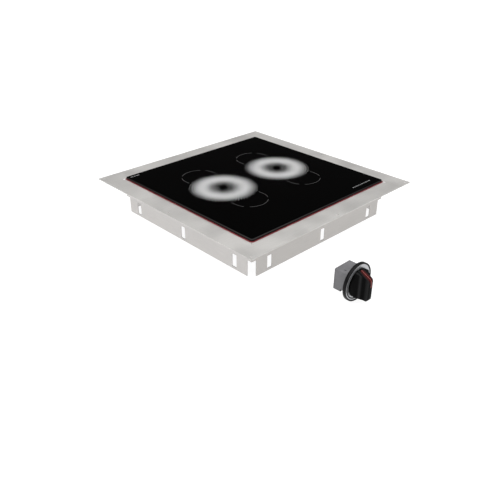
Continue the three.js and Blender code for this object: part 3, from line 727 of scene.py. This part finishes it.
# ---------------------------------------------------------------- finishes of the carried-over CAD nodes
GRAIN_X, GRAIN_Y = (30, 2600, 2600), (2600, 30, 2600)
STEEL_X = steel("stainless_x", GRAIN_X)
STEEL_Y = steel("stainless_y", GRAIN_Y, (0.62, 0.6, 0.585))
# The front skirt gets a darker copy of the same stainless: painted shade on that face.
STEEL_FRONT_PAINTED_SHADE = steel("stainless_front_painted_shade", GRAIN_X, (0.56, 0.54, 0.52))
FINISHES = {
    ("flange_plate", "skirt_back"): STEEL_X,
    ("skirt_front",): STEEL_FRONT_PAINTED_SHADE,
    ("skirt_left", "skirt_right"): STEEL_Y,
    ("coil_tray", "electronics_pan", "pan_screw"): galvanised("galvanised"),
    ("mica_disc",): mica(),
    ("litz_coil", "filter_choke"): litz(),
    (
        "coil_former", "temperature_sensor", "rotary_switch", "lead_socket", "control_socket", "mains_terminal"
    ): moulded("white_plastic", (0.66, 0.65, 0.6), (0.4, 0.55)),
    ("ferrite_bar",): ferrite(),
    ("coil_spring", "fan_guard"): steel("zinc_steel", (900, 900, 200), (0.6, 0.61, 0.62), 0.9, (0.25, 0.4)),
    ("power_board", "control_board"): circuit_board(),
    ("heatsink", "switch_shaft"): steel("aluminium", (2600, 40, 2600), (0.66, 0.67, 0.68), 0.85, (0.3, 0.45)),
    ("filter_capacitor", "resonant_capacitor"): moulded("blue_plastic", (0.03, 0.055, 0.13), (0.25, 0.4)),
    ("control_housing", "housing_cover"): moulded(
        "grey_plastic", (0.152, 0.15, 0.158), (0.5, 0.65), 700.0, 0.00005
    ),
}
EDGE_ROUNDING = {
    "skirt": 0.25 * MM,
    "flange_plate": 0.25 * MM,
    "control_housing": 0.6 * MM,
    "housing_cover": 0.5 * MM,
}
ROUNDED_ABOVE = math.radians(40)


def finish_of(node):
    for prefixes, material in FINISHES.items():
        if node.startswith(prefixes):
            return material
    return BLACK_PLASTIC


for node, carried in frame["nodes"].items():
    carried.data.materials.clear()
    carried.data.materials.append(finish_of(node))
    if node.startswith(tuple(EDGE_ROUNDING)):
        rounding = carried.modifiers.new("edges", "BEVEL")
        rounding.width = next(width for prefix, width in EDGE_ROUNDING.items() if node.startswith(prefix))
        rounding.segments, rounding.limit_method = 2, "ANGLE"
        rounding.angle_limit = ROUNDED_ABOVE

# ---------------------------------------------------------------- floor and light
FLOOR_GAP, FLOOR_REACH = 0.1 * MM, 30.0


def make_floor():
    low, reach = CAD_BOX[0].z - FLOOR_GAP, FLOOR_REACH
    corners = [(-reach, -reach, low), (reach, -reach, low), (reach, reach, low), (-reach, reach, low)]
    mesh = bpy.data.meshes.new("floor")
    mesh.from_pydata(corners, [], [(0, 1, 2, 3)])
    floor = bpy.data.objects.new("floor", mesh)
    bpy.context.scene.collection.objects.link(floor)
    paint = Paint("floor", Emission_Color=(1, 1, 1, 1), Emission_Strength=0.93, Specular_IOR_Level=0.0)
    paint.colour(paint.shades(paint.noise(3.0), (0.2, 0.2, 0.2), (0.24, 0.24, 0.24)))
    paint.rough(0.9)
    mesh.materials.append(paint.material)


# The light's grey by height: 0 is the horizon and 1 straight up.
SKY = [(0.0, 0.5), (0.05, 0.45), (0.15, 0.008), (0.56, 0.008), (0.74, 0.8), (1.0, 1.0)]
SKY_STRENGTH = 2.1


def make_world():
    """A white horizon, a dark band that keeps the glass black, and a broad soft ceiling."""
    world = bpy.data.worlds.new("studio")
    bpy.context.scene.world = world
    world.use_nodes = True
    tree = world.node_tree
    tree.nodes.clear()
    place = tree.nodes.new("ShaderNodeTexCoord")
    split = tree.nodes.new("ShaderNodeSeparateXYZ")
    tree.links.new(place.outputs["Generated"], split.inputs["Vector"])
    ramp = tree.nodes.new("ShaderNodeValToRGB")
    tree.links.new(split.outputs["Z"], ramp.inputs["Fac"])
    fill_ramp(ramp, SKY)
    lit = tree.nodes.new("ShaderNodeBackground")
    lit.inputs["Strength"].default_value = SKY_STRENGTH
    tree.links.new(ramp.outputs["Color"], lit.inputs["Color"])
    seen = tree.nodes.new("ShaderNodeBackground")
    seen.inputs["Color"].default_value = (1, 1, 1, 1)
    path = tree.nodes.new("ShaderNodeLightPath")
    mix = tree.nodes.new("ShaderNodeMixShader")
    tree.links.new(path.outputs["Is Camera Ray"], mix.inputs[0])
    tree.links.new(lit.outputs[0], mix.inputs[1])
    tree.links.new(seen.outputs[0], mix.inputs[2])
    out = tree.nodes.new("ShaderNodeOutputWorld")
    tree.links.new(mix.outputs[0], out.inputs["Surface"])


def make_lamp(name, at, aim, size, power):
    data = bpy.data.lights.new(name, "AREA")
    data.shape, data.size, data.energy = "SQUARE", size, power
    lamp = bpy.data.objects.new(name, data)
    bpy.context.scene.collection.objects.link(lamp)
    lamp.location = at
    lamp.rotation_euler = (Vector(aim) - Vector(at)).to_track_quat("-Z", "Y").to_euler()


make_floor()
make_world()
make_lamp("key", (-2.2, 0.2, 1.9), (0, 0, 0), 1.6, 18)
make_lamp("fill", (0.6, -2.4, 1.6), (0, -0.1, 0), 1.6, 3)

view = bpy.context.scene.view_settings
view.view_transform, view.look = "Standard", "None"
view.exposure, view.gamma = 0.0, 1.0
